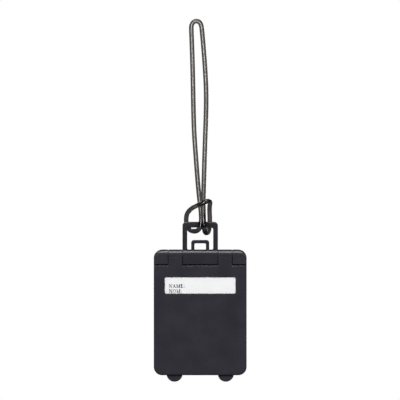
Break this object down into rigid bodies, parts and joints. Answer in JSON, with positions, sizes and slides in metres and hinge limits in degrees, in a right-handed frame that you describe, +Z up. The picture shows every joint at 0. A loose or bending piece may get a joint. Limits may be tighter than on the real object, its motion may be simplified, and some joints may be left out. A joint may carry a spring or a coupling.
{
  "type": "luggage tag",
  "caption": "Suitcase-shaped luggage tag: flip-up cover with name window over a card tray, trolley handle and a round cord loop to hang it by.",
  "frame": {"origin": "inside of the cord's top bend, where the tag hangs from a bag's handle", "axes": "+Z up along the cord, the front cover faces -Y, +X to the right seen from the front"},
  "size_m": [0.0576, 0.0134, 0.225],
  "materials": {
    "case_plastic": "fine matte grain",
    "pin_steel": "drawn wire",
    "card_paper": "uncoated card",
    "clear_film": "clear",
    "cord_pvc": "smoke grey, translucent"
  },
  "bodies": {
    "strap": {"strap_loop": "cord_pvc"},
    "case": {"rear_shell": "case_plastic", "trolley_handle": "case_plastic", "hinge_pin_left": "pin_steel", "hinge_pin_right": "pin_steel", "address_card": "card_paper", "clear_film": "clear_film"},
    "cover": {"front_cover": "case_plastic"}
  },
  "joints": [
    {"name": "tag_swing", "type": "hinge", "parent": "strap", "child": "case", "pos_m": [0.0021, 0, -0.1248], "axis": [1, 0, 0], "range_deg": [-15, 15]},
    {"name": "cover_hinge", "type": "hinge", "parent": "case", "child": "cover", "pos_m": [0.0021, 0, -0.1435], "axis": [-1, 0, 0], "range_deg": [0, 130]}
  ]
}
